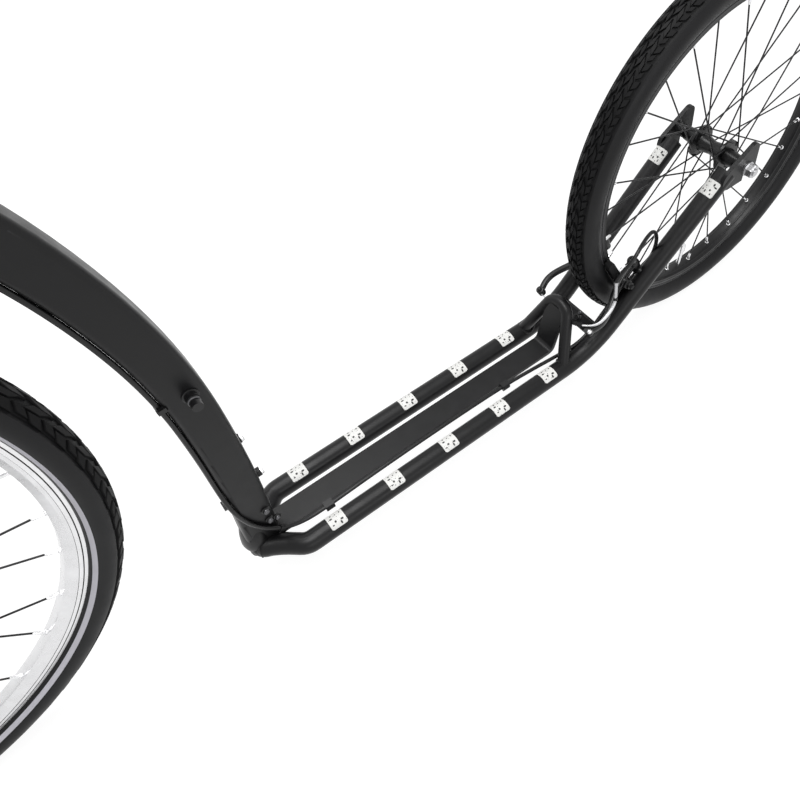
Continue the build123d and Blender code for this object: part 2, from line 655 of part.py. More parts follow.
save("down_tube", down_tube_solid)
save("foot_shoe", shoe)
save("head_tube", head_tube())
save("side_tube_left", left_tube)
save("side_tube_right", right_tube)
save("arch", arch_solid)
bar_solid = centre_bar() - left_tube - right_tube - down_tube_solid - shoe - arch_solid
save("centre_bar", bar_solid)
save("brake_bridge", brake_bridge() - left_tube - right_tube)
save("dropout_left", plate)
save("dropout_right", mirrored(plate))
save("bottle_bosses", [boss - down_tube_solid for boss in bottle_bosses()])
save("side_stud", side_stud())

# end name, axle, tyre radius and width, bead seat, rim depth, spokes, hub sizes, valve angle
WHEELS = (
    ("rear", REAR_AXLE, REAR_TYRE_R, REAR_TYRE_W, REAR_BEAD_R, REAR_RIM_DEPTH, REAR_SPOKES,
     (21.0, 12.0, 21.0), REAR_VALVE_ANGLE),
    ("front", FRONT_AXLE, FRONT_TYRE_R, FRONT_TYRE_W, FRONT_BEAD_R, FRONT_RIM_DEPTH, FRONT_SPOKES,
     (21.0, 12.0, 33.0), FRONT_VALVE_ANGLE))
for end_name, axle, radius, width, bead, depth, count, hub_sizes, valve_angle in WHEELS:
    flange_r, shell_r, flange_y = hub_sizes
    rim_solid = rim(axle, bead, depth)
    hub_solid = hub(axle, flange_r, shell_r, flange_y)
    save(f"{end_name}_rim", rim_solid)
    save(f"{end_name}_tyre", tyre(axle, radius, width, bead))
    save(f"{end_name}_hub", hub_solid)
    save(f"{end_name}_spokes",
         spokes(axle, count, flange_r, flange_y, bead - depth + 0.5, hub_solid, rim_solid))
    save(f"{end_name}_axle", axle_set(axle))
    save(f"{end_name}_valve", valve(axle, bead, depth, valve_angle))

fork_solid = fork()
save("fork", fork_solid)
save("headset", headset())
save("spacers", spacers())
save("stem", stem())
save("handlebar", handlebar())
save("grip_left", grip())
save("grip_right", mirrored(grip()))
save("brake_lever_left", brake_lever())
save("brake_lever_right", mirrored(brake_lever()))

frame_cable = cord("rear_brake_cable", frame_cable_points(), CABLE_R)
noodle = cord("rear_brake_noodle", noodle_points(), NOODLE_R)
save("rear_brake_cable", frame_cable)
save("rear_brake_cable_loop", cord("rear_brake_cable_loop", loop_cable_points(), CABLE_R))
save("rear_brake_noodle", noodle)
clip_cut = frame_cable + down_tube_solid + bar_solid
save("cable_clips", [clip - clip_cut for clip in cable_clips()])

for end_name, axle, bead, angle, facing, reach, carrier in (
        ("rear", REAR_AXLE, REAR_BEAD_R, REAR_BRAKE_ANGLE, 1, 14, left_tube),
        ("front", FRONT_AXLE, FRONT_BEAD_R, front_brake_angle(), -1, 20, fork_solid)):
    arm = brake_arm(axle, bead, angle, facing, reach) - carrier
    pad = brake_pad(axle, bead, angle)
    right_arm = mirrored(arm)
    if end_name == "rear":
        arm -= noodle
    save(f"{end_name}_brake_arm_left", arm)
    save(f"{end_name}_brake_arm_right", right_arm)
    save(f"{end_name}_brake_pads", [pad - arm, mirrored(pad) - right_arm])
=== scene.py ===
import bmesh
import bpy
import json
import math
from mathutils import Matrix, Vector


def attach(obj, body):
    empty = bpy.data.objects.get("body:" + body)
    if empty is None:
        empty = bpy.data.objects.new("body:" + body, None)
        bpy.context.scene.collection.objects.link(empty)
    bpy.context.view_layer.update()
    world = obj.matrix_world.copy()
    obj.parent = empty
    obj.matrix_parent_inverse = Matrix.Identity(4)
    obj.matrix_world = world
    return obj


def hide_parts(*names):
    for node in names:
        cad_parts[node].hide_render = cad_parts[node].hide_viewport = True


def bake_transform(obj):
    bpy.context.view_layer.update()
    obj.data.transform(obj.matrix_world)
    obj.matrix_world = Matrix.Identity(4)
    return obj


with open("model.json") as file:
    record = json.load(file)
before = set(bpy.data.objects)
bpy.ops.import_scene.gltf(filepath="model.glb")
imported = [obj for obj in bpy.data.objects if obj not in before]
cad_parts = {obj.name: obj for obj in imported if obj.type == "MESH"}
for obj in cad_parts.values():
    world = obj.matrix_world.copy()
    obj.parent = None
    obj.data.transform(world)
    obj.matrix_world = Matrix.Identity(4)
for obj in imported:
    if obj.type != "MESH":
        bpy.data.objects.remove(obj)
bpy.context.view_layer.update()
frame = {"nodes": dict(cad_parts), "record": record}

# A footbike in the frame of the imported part: +X forward, +Y left, +Z up. Sizes and points
# are written in millimetres, as in the part's own source, and MM makes metres of them.
MM = 0.001

GROUND_Z = -78.0
SIDE_TUBE_R = 12.7
SIDE_TUBE_Y = 41.5
TUBE_Z = -SIDE_TUBE_R
STAY_Y = 44.0
STAY_FOOT_X = -232.0
STAY_SLOPE = math.radians(40.2)
STAY_BACK = Vector((-math.cos(STAY_SLOPE), 0, math.sin(STAY_SLOPE)))    # up along the stays
STAY_OVER = Vector((math.sin(STAY_SLOPE), 0, math.cos(STAY_SLOPE)))     # square to them, upward
BRIDGE_MIDDLE = Vector((-251.3, 0, 3.6))
BRIDGE_HALF_THICK = 3.4
BAR_TOP_Z = -2.0
ARCH_R = 7.7
ARM_Y = 38.0
CABLE_R = 2.5
HEAD_ANGLE = math.radians(71)
STEER_UP = Vector((-math.cos(HEAD_ANGLE), 0, math.sin(HEAD_ANGLE)))
STEER_FWD = Vector((math.sin(HEAD_ANGLE), 0, math.cos(HEAD_ANGLE)))
BAR_CENTRE = Vector((471.99, 0, 896.5))
STEM_BASE = Vector((410.34, 0, 829.79))
LEFT = Vector((0, 1, 0))
ORIGIN = Vector((0, 0, 0))

# bead: radius of the bead seat; depth: how far the rim reaches inside it; pitches: repeats of the
# tread in one turn; tread: from the crown to the tread's edge, along the surface; wall: share of
# the tyre's height with the wall's finish; stripe: from and to, in height above the bead seat
REAR = {"axle": Vector((-473, 0, 168)), "radius": 246.0, "width": 42.0, "bead": 203.0, "depth": 8.0,
        "spokes": 28, "flange_y": 21.0, "pitches": 78, "tread": 14.5, "wall": 0.82, "stripe": (0, 0),
        "body": "rear_wheel"}
FRONT = {"axle": Vector((650, 0, 272)), "radius": 350.0, "width": 44.0, "bead": 311.0, "depth": 12.0,
         "spokes": 32, "flange_y": 33.0, "pitches": 72, "tread": 20.5, "wall": 0.72, "stripe": (7.9, 11.0),
         "body": "front_wheel"}


# ---------------------------------------------------------------- camera
CAMERA_PLACE = Vector((215.7, 456.5, 746.4))
CAMERA_PITCH, CAMERA_HEADING, CAMERA_ROLL = 0.92808, 0.94175, -0.06035      # radians
CAMERA_LENS, SENSOR_WIDTH = 32.564, 36.0
CAMERA_SHIFT = (-0.12649, -0.03217)


def add_camera():
    """The photograph's viewpoint, as fitted to it, with a shift because the photograph is a crop."""
    pitch, heading, roll = CAMERA_PITCH, CAMERA_HEADING, CAMERA_ROLL
    look = Vector((-math.cos(pitch) * math.cos(heading), -math.cos(pitch) * math.sin(heading), -math.sin(pitch)))
    side = look.cross(Vector((0, 0, 1))).normalized()
    up = side.cross(look)
    right = side * math.cos(roll) + up * math.sin(roll)
    top = up * math.cos(roll) - side * math.sin(roll)
    data = bpy.data.cameras.new("view")
    data.sensor_width = SENSOR_WIDTH
    data.lens = CAMERA_LENS
    data.shift_x, data.shift_y = CAMERA_SHIFT
    data.clip_start = 0.01
    camera = bpy.data.objects.new("view", data)
    bpy.context.scene.collection.objects.link(camera)
    turn = Matrix((right, top, -look)).transposed().to_4x4()
    camera.matrix_world = Matrix.Translation(CAMERA_PLACE * MM) @ turn
    bpy.context.scene.camera = camera


# ---------------------------------------------------------------- light and floor
def area_light(name, place, target, size, power):
    """Soft lamp at a place, in metres, aimed at a target."""
    data = bpy.data.lights.new(name, "AREA")
    data.shape = "RECTANGLE"
    data.size, data.size_y = size
    data.energy = power
    lamp = bpy.data.objects.new(name, data)
    bpy.context.scene.collection.objects.link(lamp)
    aim = (Vector(target) - Vector(place)).to_track_quat("-Z", "Y")
    lamp.matrix_world = Matrix.Translation(Vector(place)) @ aim.to_matrix().to_4x4()


def add_lights():
    """One wide lamp overhead and a weak one on each side."""
    area_light("key", (0.25, -0.1, 2.6), (0.15, -0.1, 0), (2.6, 1.0), 66)
    area_light("left", (0.2, 2.6, 1.0), (0, 0, 0.2), (1.8, 0.9), 12)
    area_light("right", (0.6, -2.6, 1.4), (0, 0, 0.3), (1.8, 1.2), 5)


def show_to_camera(tree, lit, shown):
    """The second shader where camera, gloss and glass see the surface, the first elsewhere."""
    links = tree.links
    path = tree.nodes.new("ShaderNodeLightPath")
    seen = path.outputs["Is Camera Ray"]
    for ray in ("Is Glossy Ray", "Is Transmission Ray"):
        either = tree.nodes.new("ShaderNodeMath")
        either.operation = "MAXIMUM"
        links.new(seen, either.inputs[0])
        links.new(path.outputs[ray], either.inputs[1])
        seen = either.outputs[0]
    mix = tree.nodes.new("ShaderNodeMixShader")
    links.new(seen, mix.inputs[0])
    links.new(lit.outputs[0], mix.inputs[1])
    links.new(shown.outputs[0], mix.inputs[2])
    return mix.outputs[0]


WORLD_LIGHT = 0.3       # strength of the world's light on the object
FLOOR_HALF = 9.0        # metres
FLOOR_GAP = 0.0005      # the floor lies this far below the tyres, in metres
FLOOR_LIT = 0.8         # the floor's grey where it throws light back on the object
FLOOR_SHOWN = 0.2       # the part of its shown white that takes the shadow
FLOOR_GLOW = 0.92       # the part of its shown white that glows


def add_world():
    """Even weak light, shown as white."""
    world = bpy.data.worlds.new("studio")
    bpy.context.scene.world = world
    world.use_nodes = True
    tree = world.node_tree
    tree.nodes.clear()
    out = tree.nodes.new("ShaderNodeOutputWorld")
    light = tree.nodes.new("ShaderNodeBackground")
    light.inputs["Color"].default_value = (1, 1, 1, 1)
    light.inputs["Strength"].default_value = WORLD_LIGHT
    white = tree.nodes.new("ShaderNodeBackground")
    white.inputs["Color"].default_value = (1, 1, 1, 1)
    white.inputs["Strength"].default_value = 1.0
    tree.links.new(show_to_camera(tree, light, white), out.inputs["Surface"])


def add_floor():
    """Pale floor that shows as white, with the object's shadow."""
    half = FLOOR_HALF
    z = GROUND_Z * MM - FLOOR_GAP
    mesh = bpy.data.meshes.new("floor")
    mesh.from_pydata([(-half, -half, z), (half, -half, z), (half, half, z), (-half, half, z)],
                     [], [(0, 1, 2, 3)])
    floor = bpy.data.objects.new("floor", mesh)
    bpy.context.scene.collection.objects.link(floor)
    material = bpy.data.materials.new("floor")
    material.use_nodes = True
    tree = material.node_tree
    tree.nodes.clear()
    out = tree.nodes.new("ShaderNodeOutputMaterial")
    matt = tree.nodes.new("ShaderNodeBsdfDiffuse")
    matt.inputs["Color"].default_value = (FLOOR_LIT, FLOOR_LIT, FLOOR_LIT, 1)
    faint = tree.nodes.new("ShaderNodeBsdfDiffuse")
    faint.inputs["Color"].default_value = (FLOOR_SHOWN, FLOOR_SHOWN, FLOOR_SHOWN, 1)
    glow = tree.nodes.new("ShaderNodeEmission")
    glow.inputs["Color"].default_value = (1, 1, 1, 1)
    glow.inputs["Strength"].default_value = FLOOR_GLOW
    both = tree.nodes.new("ShaderNodeAddShader")
    tree.links.new(faint.outputs[0], both.inputs[0])
    tree.links.new(glow.outputs[0], both.inputs[1])
    tree.links.new(show_to_camera(tree, matt, both), out.inputs["Surface"])
    floor.data.materials.append(material)


# ---------------------------------------------------------------- materials
BUMP_DEPTH = 0.0004     # metres


def noise(tree, scale, detail=3.0, rough=0.5):
    """Noise texture in the object's own coordinates."""
    place = tree.nodes.new("ShaderNodeTexCoord")
    node = tree.nodes.new("ShaderNodeTexNoise")
    node.inputs["Scale"].default_value = scale
    node.inputs["Detail"].default_value = detail
    node.inputs["Roughness"].default_value = rough
    tree.links.new(place.outputs["Object"], node.inputs["Vector"])
    return node


def ramp(tree, source, low, high, start=0.3, end=0.7):
    """A value that goes from low to high while the source goes from start to end."""
    node = tree.nodes.new("ShaderNodeMapRange")
    node.inputs["From Min"].default_value = start
    node.inputs["From Max"].default_value = end
    node.inputs["To Min"].default_value = low
    node.inputs["To Max"].default_value = high
    tree.links.new(source, node.inputs["Value"])
    return node.outputs["Result"]


def blend_colours(tree, factor, low, high):
    """Colour between two, by a factor."""
    mix = tree.nodes.new("ShaderNodeMix")
    mix.data_type = "RGBA"
    mix.inputs["A"].default_value = (*low, 1)
    mix.inputs["B"].default_value = (*high, 1)
    tree.links.new(factor, mix.inputs["Factor"])
    return mix.outputs["Result"]


def surface(name, colour, rough, metal=0.0, vary=0.15, grain=(900.0, 0.08), wide=60.0, rough_vary=0.06,
            specular=0.5):
    """A finish with slow colour variation, varying roughness and a fine grain."""
    material = bpy.data.materials.new(name)
    material.use_nodes = True
    tree = material.node_tree
    shader = tree.nodes["Principled BSDF"]
    shader.inputs["Metallic"].default_value = metal
    shader.inputs["Specular IOR Level"].default_value = specular
    slow = noise(tree, wide, 4.0)
    low = [c * (1 - vary) for c in colour]
    high = [min(1, c * (1 + vary)) for c in colour]
    tree.links.new(blend_colours(tree, slow.outputs["Fac"], low, high), shader.inputs["Base Color"])
    tree.links.new(ramp(tree, slow.outputs["Fac"], rough - rough_vary, rough + rough_vary),
                   shader.inputs["Roughness"])
    fine = noise(tree, grain[0], 2.0)
    bump = tree.nodes.new("ShaderNodeBump")
    bump.inputs["Strength"].default_value = grain[1]
    bump.inputs["Distance"].default_value = BUMP_DEPTH
    tree.links.new(fine.outputs["Fac"], bump.inputs["Height"])
    tree.links.new(bump.outputs["Normal"], shader.inputs["Normal"])
    return material


def flecked(name, ground, fleck, scale, share, rough):
    """A pale sheet with small dark flecks, as on worn grip tape."""
    material = surface(name, ground, rough, vary=0.05, grain=(1600.0, 0.35))
    tree = material.node_tree
    shader = tree.nodes["Principled BSDF"]
    old = shader.inputs["Base Color"].links[0].from_socket
    spots = noise(tree, scale, 1.0, 0.4)
    mask = ramp(tree, spots.outputs["Fac"], 0.0, 1.0, share, share + 0.02)
    mix = tree.nodes.new("ShaderNodeMix")
    mix.data_type = "RGBA"
    mix.inputs["B"].default_value = (*fleck, 1)
    tree.links.new(mask, mix.inputs["Factor"])
    tree.links.new(old, mix.inputs["A"])
    tree.links.new(mix.outputs["Result"], shader.inputs["Base Color"])
    return material


PAINT = surface("black_powder_coat", (0.0060, 0.0060, 0.0065), 0.36, grain=(1500.0, 0.10), specular=0.24)
WELD = surface("painted_weld", (0.006, 0.006, 0.0065), 0.32, grain=(700.0, 0.2), specular=0.28)
ANODISED = surface("black_anodised", (0.006, 0.006, 0.0065), 0.30, specular=0.34)
RUBBER = surface("tyre_rubber", (0.0052, 0.0052, 0.0056), 0.55, vary=0.35, grain=(700.0, 0.2), specular=0.14)
WALL = surface("tyre_wall", (0.0075, 0.0075, 0.0082), 0.46, vary=0.25, grain=(1100.0, 0.15), specular=0.19)
STRIPE = surface("reflective_stripe", (0.52, 0.51, 0.56), 0.35, vary=0.06, grain=(2200.0, 0.2))
SILVER = surface("polished_alloy", (0.78, 0.78, 0.79), 0.22, metal=1.0, grain=(300.0, 0.05))
BRUSHED = surface("brushed_alloy", (0.55, 0.55, 0.56), 0.36, metal=0.9, grain=(900.0, 0.15))
ZINC = surface("zinc_steel", (0.50, 0.50, 0.51), 0.30, metal=1.0)
# painted highlight: pale grey on the rear rim's hooked edge stands in for the highlight along the tyre's bead
HOOK_HIGHLIGHT = surface("rim_edge_painted_highlight", (0.42, 0.42, 0.44), 0.30, metal=0.7, grain=(1500.0, 0.12))
SPOKE = surface("spoke_black", (0.008, 0.008, 0.009), 0.32, specular=0.3)
DARK_STEEL = surface("dark_steel", (0.10, 0.10, 0.105), 0.28, metal=0.8, grain=(700.0, 0.1))
TRACK = surface("machined_track", (0.80, 0.80, 0.81), 0.30, metal=0.9, grain=(2600.0, 0.12))
TRACK_BLACK = surface("dark_track", (0.03, 0.03, 0.032), 0.30, metal=0.4, grain=(2600.0, 0.12))
RIM_SILVER = surface("silver_rim", (0.74, 0.74, 0.75), 0.28, metal=0.9)
RIM_BLACK = surface("black_rim", (0.007, 0.007, 0.0075), 0.34, specular=0.3)
# painted shade: near-black in the rims' wear groove and on the step below each brake track
GROOVE_PAINTED_SHADE = surface("groove_painted_shade", (0.01, 0.01, 0.01), 0.6, specular=0.2)
SLEEVE = surface("cable_sleeve", (0.006, 0.006, 0.0065), 0.28, grain=(1800.0, 0.1), specular=0.32)
GRIP = surface("grip_rubber", (0.009, 0.009, 0.009), 0.7, grain=(500.0, 0.4), specular=0.18)
PAD = surface("brake_pad", (0.010, 0.010, 0.0105), 0.6, grain=(800.0, 0.3), specular=0.2)
PATCH = flecked("grip_patch", (0.80, 0.80, 0.78), (0.12, 0.12, 0.12), 620.0, 0.68, 0.5)
MARK = surface("patch_mark", (0.02, 0.02, 0.02), 0.6, vary=0.3)

FINISH = {"tyre": RUBBER, "black_alloy": ANODISED, "spoke_steel": SPOKE, "steel": ZINC, "grip_rubber": GRIP,
          "pad_rubber": PAD, "cable_sleeve": SLEEVE, "bright_alloy": SILVER, "frame_paint": PAINT}
OWN_FINISH = {"cable_clips": ANODISED, "bottle_bosses": PAINT}


def dress_nodes():
    """Every CAD node takes the finish of its slot, or its own."""
    for part in frame["record"]["subparts"]:
        slots = frame["nodes"][part["node"]].data.materials
        slots.clear()
        slots.append(OWN_FINISH.get(part["node"], FINISH[part["material_slot"]]))


# ---------------------------------------------------------------- mesh building
class Shape:
    """Points in millimetres, with faces and the number of each face's finish."""

    def __init__(self):
        self.points, self.faces, self.finish = [], [], []

    def add(self, skin, finish=0):
        points, faces = skin
        base = len(self.points)
        self.points += [Vector(p) for p in points]
        self.faces += [tuple(base + i for i in face) for face in faces]
        self.finish += list(finish) if isinstance(finish, list) else [finish] * len(faces)

    def piece(self, name, body, slot, materials, sharp=35.0, replaces=()):
        mesh = bpy.data.meshes.new(name)
        mesh.from_pydata([p * MM for p in self.points], [], self.faces)
        mesh.polygons.foreach_set("material_index", self.finish)
        for material in materials:
            mesh.materials.append(material)
        turn = bmesh.new()
        turn.from_mesh(mesh)
        bmesh.ops.recalc_face_normals(turn, faces=turn.faces)
        turn.to_mesh(mesh)
        turn.free()
        mesh.polygons.foreach_set("use_smooth", [True] * len(mesh.polygons))
        mesh.set_sharp_from_angle(angle=math.radians(sharp))
        piece = bpy.data.objects.new(name, mesh)
        bpy.context.scene.collection.objects.link(piece)
        if body:
            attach(piece, body)
        if replaces:
            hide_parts(*replaces)
        return piece


def loft(rings, around=True, caps=True, closed=False):
    """Skin over successive rings of equal length."""
    points = [p for ring in rings for p in ring]
    count = len(rings[0])
    faces = []
    for level in range(len(rings) if closed else len(rings) - 1):
        low = level * count
        high = ((level + 1) % len(rings)) * count
        for i in range(count if around else count - 1):
            j = (i + 1) % count
            faces.append((low + i, low + j, high + j, high + i))
    if caps and around and not closed:
        faces.append(tuple(reversed(range(count))))
        faces.append(tuple(range(len(points) - count, len(points))))
    return points, faces


def turned(base, axis, profile, sides=20, hexes=()):
    """Turned piece: (height, radius) pairs along an axis; the rings in hexes are hexagons."""
    axis = Vector(axis).normalized()
    across = axis.orthogonal().normalized()
    up = axis.cross(across)
    rings = []
    for index, (height, radius) in enumerate(profile):
        ring = []
        for k in range(sides):
            angle = 2 * math.pi * k / sides
            reach = radius
            if index in hexes:
                reach = radius / math.cos(angle % (math.pi / 3) - math.pi / 6)
            ring.append(Vector(base) + axis * height + (across * math.cos(angle) + up * math.sin(angle)) * reach)
        rings.append(ring)
    return loft(rings)


def socket_screw(base, axis, radius, height):
    """Cap screw head with a hexagon socket."""
    profile = [(-0.5, radius), (height * 0.75, radius), (height * 0.94, radius * 0.9), (height, radius * 0.78),
               (height, radius * 0.5), (height * 0.45, radius * 0.5)]
    return turned(base, axis, profile, sides=24, hexes=(4, 5))


def hex_nut(base, axis, radius, height):
    """Hexagon nut with the screw's rounded end above it."""
    profile = [(-0.5, radius), (height * 0.85, radius), (height, radius * 0.86), (height, radius * 0.5),
               (height * 1.35, radius * 0.46), (height * 1.5, radius * 0.3)]
    return turned(base, axis, profile, sides=24, hexes=(0, 1))


def swept(path, radius, sides=12, closed=False):
    """Round bar through points; radius is a number or a list, one for each point."""
    path = [Vector(p) for p in path]
    radii = radius if isinstance(radius, list) else [radius] * len(path)
    count = len(path)
    rings = []
    across = None
    for i, point in enumerate(path):
        before = path[i - 1] if i or closed else point
        after = path[(i + 1) % count] if i < count - 1 or closed else point
        way = (after - before).normalized()
        if across is None:
            across = way.orthogonal().normalized()
        across = (across - way * across.dot(way)).normalized()
        up = way.cross(across)
        rings.append([point + (across * math.cos(a) + up * math.sin(a)) * radii[i]
                      for a in (2 * math.pi * k / sides for k in range(sides))])
    return loft(rings, closed=closed)


def polar(centre, radius, degrees, y=0.0):
    """Point beside a wheel at an angle above +X."""
    angle = math.radians(degrees)
    return Vector((centre.x + radius * math.cos(angle), y, centre.z + radius * math.sin(angle)))


def wheel_skin(axle, outline, steps, finishes, closed=False):
    """Turn an outline of (radius, y) about the axle; finishes has one number for each side of it."""
    rings = []
    for k in range(steps):
        degrees = 360 * k / steps
        rings.append([polar(axle, r, degrees, y) for r, y in outline])
    skin = loft(rings, around=closed, closed=True)
    sides = len(outline) if closed else len(outline) - 1
    return skin, [finishes[i] for _ in range(steps) for i in range(sides)]


def arc(a, b, c, count):
    """count + 1 points on the arc from a through b to c, in a plane."""
    (ax, ay), (bx, by), (cx, cy) = a, b, c
    d = 2 * (ax * (by - cy) + bx * (cy - ay) + cx * (ay - by))
    ux = ((ax**2 + ay**2) * (by - cy) + (bx**2 + by**2) * (cy - ay) + (cx**2 + cy**2) * (ay - by)) / d
    uy = ((ax**2 + ay**2) * (cx - bx) + (bx**2 + by**2) * (ax - cx) + (cx**2 + cy**2) * (bx - ax)) / d
    radius = math.hypot(ax - ux, ay - uy)
    start, middle, end = (math.atan2(y - uy, x - ux) for x, y in (a, b, c))
    turn = (end - start) % (2 * math.pi)
    if (middle - start) % (2 * math.pi) > turn:
        turn -= 2 * math.pi
    return [(ux + radius * math.cos(start + turn * i / count), uy + radius * math.sin(start + turn * i / count))
            for i in range(count + 1)]


# ---------------------------------------------------------------- tyres and rims
TREAD_DEPTH = 2.4
TYRE_STATIONS = 40      # steps of the skin from the crown to the rim
TYRE_STEPS = 240        # steps of the skin round the wheel
RIM_STEPS = 220
# tread blocks on one half: (place within the pitch, share of the way to the tread's edge) of each corner
BLOCKS = (
    ((0.00, 0.02), (0.60, 0.02), (0.92, 0.25), (0.40, 0.28)),
    ((0.16, 0.33), (0.76, 0.30), (0.40, 0.58), (-0.12, 0.62)),
    ((0.00, 0.68), (0.44, 0.64), (0.62, 1.04), (0.24, 1.00)),
    ((0.56, 0.62), (0.90, 0.66), (1.10, 0.92), (0.76, 0.90)),
)


def tyre_half(wheel):
    """(radius, y) points a short step apart from the crown down to the rim."""
    r, w, bead = wheel["radius"], wheel["width"], wheel["bead"]
    shoulder = (r - 7, w * 0.36)
    crown = arc((r - 7, -w * 0.36), (r, 0), shoulder, 40)[20:]
    widest = (bead + (r - bead) * 0.52, w / 2)
    return crown + arc(shoulder, widest, (bead + 5.6, 11.2), 26)[1:]


def along_half(half, distance, sink):
    """Point at a distance round from the crown, sunk below the surface."""
    side = -1 if distance < 0 else 1
    left = abs(distance)
    for (r0, y0), (r1, y1) in zip(half, half[1:]):
        step = math.hypot(r1 - r0, y1 - y0)
        if left <= step or (r1, y1) == half[-1]:
            t = left / step
            out_r, out_y = (y1 - y0) / step, (r0 - r1) / step
            return (r0 + (r1 - r0) * t - out_r * sink, side * (y0 + (y1 - y0) * t - out_y * sink))
        left -= step


def tyre_piece(end, wheel):
    """Tyre skin, sunk below the tread, with its rows of raised blocks."""
    half = tyre_half(wheel)
    bead, axle = wheel["bead"], wheel["axle"]
    length = sum(math.dist(a, b) for a, b in zip(half, half[1:]))
    stations = [length * i / TYRE_STATIONS for i in range(TYRE_STATIONS + 1)]
    profile = []
    for s in stations:
        fade = min(1.0, max(0.0, (wheel["tread"] + 3.5 - s) / 3.0))
        profile.append(along_half(half, s, TREAD_DEPTH * fade))
    profile += [(bead + 5.6, 9.4)]
    outline = [(r, -y) for r, y in reversed(profile[1:])] + profile
    finishes = []
    for (r0, y0), (r1, y1) in zip(outline, outline[1:]):
        low = (r0 + r1) / 2 - bead
        stripe = wheel["stripe"][0] < low < wheel["stripe"][1]
        finishes.append(2 if stripe else 1 if low < (wheel["radius"] - bead) * wheel["wall"] else 0)
    shape = Shape()
    shape.add(*wheel_skin(axle, outline, TYRE_STEPS, finishes))
    for k in range(wheel["pitches"]):
        for side in (1, -1):
            for block in BLOCKS:
                shift = k + (0.5 if side < 0 else 0.0)
                shape.add(tread_block(wheel, half, block, side, shift))
    return shape.piece(f"{end}_tyre_tread", wheel["body"], "tyre", [RUBBER, WALL, STRIPE], replaces=(f"{end}_tyre",))


def tread_block(wheel, half, block, side, shift):
    """One raised block, a little wider at its foot."""
    mid_u = sum(u for u, _ in block) / len(block)
    mid_s = sum(s for _, s in block) / len(block)
    rings = []
    for sink, grow in ((TREAD_DEPTH + 0.5, 1.10), (0.5, 1.0), (0.0, 0.90)):
        ring = []
        for u, s in block:
            u = mid_u + (u - mid_u) * grow
            s = (mid_s + (s - mid_s) * grow) * wheel["tread"]
            r, y = along_half(half, side * s, sink)
            ring.append(polar(wheel["axle"], r, 360 * (u + shift) / wheel["pitches"], y))
        rings.append(ring)
    return loft(rings)


def rim_piece(end, wheel, body_finish, track_finish, edge_metal_and_highlight):
    """Rim with hooked edges, machined brake tracks, a wear groove and a closed box below."""
    bead, depth = wheel["bead"], wheel["depth"]
    # finish numbers: 0 the body, 1 the brake track, 2 painted shade in the groove and on the step below the track, 3
    # the hooked edge
    side = [((bead - 3, 6.0), 0), ((bead, 9.4), 0), ((bead + 5.0, 9.4), 0), ((bead + 5.6, 10.2), 0),
            ((bead + 6.2, 11.5), 3), ((bead + 5.6, 12.0), 1), ((bead + 2.7, 12.0), 2),
            ((bead + 2.5, 11.6), 2), ((bead + 1.9, 11.6), 2), ((bead + 1.7, 12.0), 1),
            ((bead - 1.6, 12.0), 2), ((bead - 1.9, 11.6), 0), ((bead - 5.0, 11.4), 0),
            ((bead - depth + 1.6, 7.4), 0), ((bead - depth + 0.4, 6.4), 0), ((bead - depth, 5.0), 0)]
    outline = [point for point, _ in side] + [(r, -y) for (r, y), _ in reversed(side)]
    marks = [mark for _, mark in side]
    finishes = marks[:-1] + [0] + list(reversed(marks[:-1])) + [0]
    shape = Shape()
    shape.add(*wheel_skin(wheel["axle"], outline, RIM_STEPS, finishes, closed=True))
    return shape.piece(f"{end}_rim_detail", wheel["body"], "black_alloy",
                       [body_finish, track_finish, GROOVE_PAINTED_SHADE, edge_metal_and_highlight],
                       sharp=28, replaces=(f"{end}_rim",))


def nipple_piece(end, wheel):
    """Spoke nipples at the rim, in line with their spokes."""
    shape = Shape()
    flange_r, cross = 21.0, 68.0        # hub flange, and degrees that a spoke runs round it
    inner = wheel["bead"] - wheel["depth"]
    for index in range(wheel["spokes"]):
        side = 1 if index % 2 else -1
        outer = (index // 2) % 2 == 1
        angle = 360 * index / wheel["spokes"]
        foot_y = side * (wheel["flange_y"] + (3.4 if outer else -2.55))
        foot = polar(wheel["axle"], flange_r - 2.5, angle + (cross if outer else -cross), foot_y)
        head = polar(wheel["axle"], inner + 0.5, angle, side * 1.2)
        shape.add(turned(head, foot - head, [(-0.5, 2.9), (1.6, 2.9), (2.4, 2.1), (11.0, 1.8), (12.4, 1.3)], 10))
    return shape.piece(f"{end}_nipples", wheel["body"], "bright_alloy", [SILVER])


# ---------------------------------------------------------------- footboard
PATCH_LENGTH = 20.5
PATCH_PITCH = 79.1
STAY_PATCH_RUN = 194.0      # from the stay's foot, along X
MARK_GROWTH = 1.35
# printed marks on a patch: place along it, share of the way round, half length, half width
MARKS = ((-5.6, 0.70, 1.5, 0.9), (-3.4, 0.84, 0.8, 1.6), (2.2, 0.66, 1.0, 1.0), (5.6, 0.42, 1.4, 0.8),
         (4.4, 0.22, 0.8, 0.8), (-1.0, 0.30, 0.6, 0.6), (6.4, 0.78, 0.9, 0.6), (-6.6, 0.28, 0.6, 0.9))


